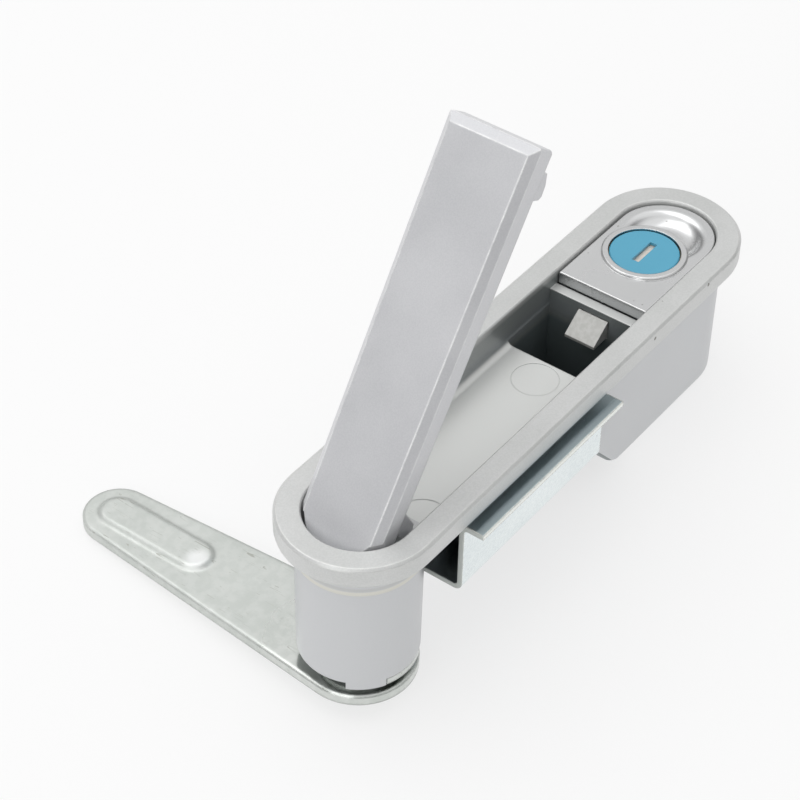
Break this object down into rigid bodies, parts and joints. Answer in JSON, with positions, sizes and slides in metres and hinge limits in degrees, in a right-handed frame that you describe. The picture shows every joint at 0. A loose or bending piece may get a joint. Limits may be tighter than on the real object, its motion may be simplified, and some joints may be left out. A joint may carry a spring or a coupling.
{
  "type": "swing handle lock",
  "caption": "Flush swing handle lock for a cabinet door: a push button with a key cylinder frees the lever, which lifts and turns a cam; a clamp bracket holds the body in the panel.",
  "frame": {"origin": "on the axis of the turning boss, where it meets the underside of the flange, the plane that sits on the door", "axes": "+X from the boss to the push button, +Y to the side the cam points to at rest, +Z out of the door"},
  "size_m": [0.1455, 0.094, 0.1158],
  "materials": {
    "die_cast_body": "satin",
    "handle_paint": "satin",
    "bright_plate": "gloss",
    "zinc_steel": "satin",
    "clamp_steel": "satin",
    "latch_metal": "satin",
    "key_plastic": "satin",
    "shutter_metal": "satin",
    "brass": "satin",
    "spring_steel": "satin",
    "nylon": "matt",
    "seal_rubber": "matt"
  },
  "bodies": {
    "lock_body": {"lock_body": "die_cast_body", "housing_cover": "zinc_steel", "cover_screws": "zinc_steel", "button_springs": "spring_steel", "latch_springs": "spring_steel"},
    "rotor": {"rotor": "die_cast_body", "pivot_pin": "spring_steel", "rotor_oring": "seal_rubber", "friction_washer": "nylon", "stop_washer": "zinc_steel", "cam_spacer": "zinc_steel", "cam_arm": "zinc_steel", "cam_washer": "zinc_steel", "cam_screw": "zinc_steel", "lift_spring": "spring_steel"},
    "handle": {"handle_lever": "handle_paint"},
    "lift_plunger": {"lift_plunger": "spring_steel"},
    "push_button": {"push_button": "bright_plate", "cylinder_shell": "brass", "cylinder_nut": "brass", "retaining_clip": "spring_steel"},
    "key_plug": {"cylinder_plug": "brass", "wafer_tumblers": "brass", "key_cap": "key_plastic", "plug_tail": "zinc_steel", "tail_screw": "zinc_steel"},
    "keyway_shutter": {"keyway_shutter": "shutter_metal"},
    "latch": {"latch_bolt": "latch_metal"},
    "clamp": {"clamp_bracket": "clamp_steel", "clamp_screws": "zinc_steel", "clamp_washers": "zinc_steel"}
  },
  "joints": [
    {"name": "rotor_turn", "type": "hinge", "parent": "lock_body", "child": "rotor", "pos_m": [0, 0, 0], "axis": [0, 0, 1], "range_deg": [0, 90]},
    {"name": "handle_lift", "type": "hinge", "parent": "rotor", "child": "handle", "pos_m": [0, 0, -0.0029], "axis": [0, -1, 0], "range_deg": [-55.3, 0], "stiffness_Nm_per_rad": 0.03, "springref_deg": 137.51},
    {"name": "plunger_slide", "type": "slide", "parent": "rotor", "child": "lift_plunger", "axis": [0, 0, 1], "range_m": [-0.0033, 0], "deforming": ["lift_spring"]},
    {"name": "button_press", "type": "slide", "parent": "lock_body", "child": "push_button", "axis": [0, 0, -1], "range_m": [0, 0.0026], "stiffness_N_per_m": 900, "springref_m": -0.004, "deforming": ["button_springs"]},
    {"name": "latch_slide", "type": "slide", "parent": "lock_body", "child": "latch", "axis": [1, 0, 0], "range_m": [0, 0.0026], "deforming": ["latch_springs"]},
    {"name": "key_turn", "type": "hinge", "parent": "push_button", "child": "key_plug", "pos_m": [0.1031, 0, 0], "axis": [0, 0, 1], "range_deg": [-90, 0]},
    {"name": "shutter_swing", "type": "hinge", "parent": "key_plug", "child": "keyway_shutter", "pos_m": [0.1031, -0.00077, 0.00328], "axis": [-1, 0, 0], "range_deg": [0, 75], "stiffness_Nm_per_rad": 0.00002, "springref_deg": -28.65},
    {"name": "clamp_slide", "type": "slide", "parent": "lock_body", "child": "clamp", "axis": [0, 0, 1], "range_m": [-0.004, 0.0019]}
  ],
  "couplings": [
    {"joint": "plunger_slide", "follows": "handle_lift", "m_per_rad": 0.0034},
    {"joint": "latch_slide", "follows": "button_press", "ratio": 1}
  ]
}
